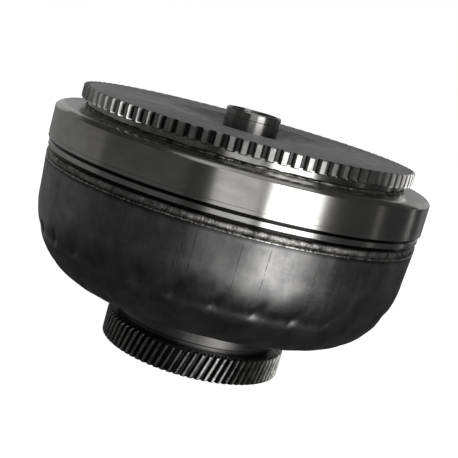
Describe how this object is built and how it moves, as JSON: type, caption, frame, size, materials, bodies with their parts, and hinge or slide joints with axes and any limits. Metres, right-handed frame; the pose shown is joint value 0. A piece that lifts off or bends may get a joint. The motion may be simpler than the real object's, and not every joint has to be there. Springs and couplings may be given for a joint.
{
  "type": "torque converter",
  "caption": "Welded torque converter with a toothed drive disc and pilot on its front cover, a deep pressed impeller bowl and a helical pump drive gear on its hub.",
  "frame": {"origin": "on the axis of rotation, in the lower face of the pump drive gear", "axes": "+Z along the axis of rotation, from the gear to the pilot; +X through a gap of the drive disc's teeth"},
  "size_m": [0.3106, 0.3106, 0.2065],
  "materials": {
    "disc_steel": "dull turned plate with machined teeth",
    "cover_steel": "bright fine-turned",
    "pilot_steel": "ground, dark",
    "weld_steel": "rough as-welded bead",
    "bowl_steel": "dark satin pressed sheet",
    "hub_steel": "dark, polished journal",
    "gear_steel": "blackened, ground flanks",
    "screw_steel": "black oxide",
    "bush_bronze": "bored bronze",
    "blade_steel": "pressed and brazed sheet",
    "turned_steel": "turned",
    "plate_steel": "pressed plate",
    "spring_steel": "oil-tempered",
    "lining_paper": "bonded friction paper, matte",
    "seal_iron": "lapped",
    "stator_aluminium": "die-cast, satin",
    "bearing_steel": "ground, bright",
    "side_plate_bronze": "machined",
    "cage_steel": "pressed"
  },
  "bodies": {
    "housing": {"toothed_drive_disc": "disc_steel", "disc_weld_ring": "weld_steel", "crank_pilot": "pilot_steel", "front_cover": "cover_steel", "seam_weld_bead": "weld_steel", "impeller_shell": "bowl_steel", "hub_weld_ring": "weld_steel", "hub_bush": "bush_bronze", "impeller_core_ring": "blade_steel", "impeller_hub": "hub_steel", "gear_cap_screws": "screw_steel", "pump_drive_gear": "gear_steel", "impeller_blades": "blade_steel"},
    "turbine": {"turbine_shell": "blade_steel", "turbine_core_ring": "blade_steel", "turbine_blades": "blade_steel", "turbine_hub": "turned_steel", "turbine_rivets": "plate_steel", "damper_driven_plate": "plate_steel"},
    "piston_seal": {"piston_seal_ring": "seal_iron"},
    "lockup": {"lockup_piston": "turned_steel", "friction_lining": "lining_paper", "damper_retainer": "plate_steel", "retainer_rivets": "plate_steel", "damper_springs": "spring_steel"},
    "stator": {"stator_wheel": "stator_aluminium", "stator_outer_race": "bearing_steel", "clutch_rollers": "bearing_steel", "clutch_leaf_springs": "spring_steel", "lower_side_plate": "side_plate_bronze", "upper_side_plate": "side_plate_bronze", "lower_snap_ring": "spring_steel", "upper_snap_ring": "spring_steel"},
    "inner_race": {"stator_inner_race": "bearing_steel"},
    "impeller_bearing": {"impeller_bearing_cage": "cage_steel", "impeller_bearing_needles": "bearing_steel"},
    "turbine_bearing": {"turbine_bearing_cage": "cage_steel", "turbine_bearing_needles": "bearing_steel"},
    "cover_bearing": {"cover_bearing_cage": "cage_steel", "cover_bearing_needles": "bearing_steel"}
  },
  "joints": [
    {"name": "turbine_spin", "type": "hinge", "parent": "housing", "child": "turbine", "pos_m": [0, 0, 0.118], "axis": [0, 0, 1], "continuous": true},
    {"name": "damper_twist", "type": "hinge", "parent": "turbine", "child": "piston_seal", "pos_m": [0, 0, 0.158], "axis": [0, 0, 1], "range_deg": [-8, 8], "stiffness_Nm_per_rad": 200},
    {"name": "piston_apply", "type": "slide", "parent": "piston_seal", "child": "lockup", "axis": [0, 0, 1], "range_m": [0, 0.0014]},
    {"name": "stator_spin", "type": "hinge", "parent": "housing", "child": "stator", "pos_m": [0, 0, 0.098], "axis": [0, 0, 1], "continuous": true},
    {"name": "inner_race_spin", "type": "hinge", "parent": "housing", "child": "inner_race", "pos_m": [0, 0, 0.098], "axis": [0, 0, 1], "continuous": true},
    {"name": "impeller_bearing_roll", "type": "hinge", "parent": "housing", "child": "impeller_bearing", "pos_m": [0, 0, 0.07935], "axis": [0, 0, 1], "continuous": true},
    {"name": "turbine_bearing_roll", "type": "hinge", "parent": "housing", "child": "turbine_bearing", "pos_m": [0, 0, 0.11665], "axis": [0, 0, 1], "continuous": true},
    {"name": "cover_bearing_roll", "type": "hinge", "parent": "housing", "child": "cover_bearing", "pos_m": [0, 0, 0.16845], "axis": [0, 0, 1], "continuous": true}
  ],
  "couplings": [
    {"joint": "impeller_bearing_roll", "follows": "stator_spin", "ratio": 0.5},
    {"joint": "turbine_bearing_roll", "follows": "turbine_spin", "ratio": 0.5},
    {"joint": "cover_bearing_roll", "follows": "turbine_spin", "ratio": 0.5}
  ]
}
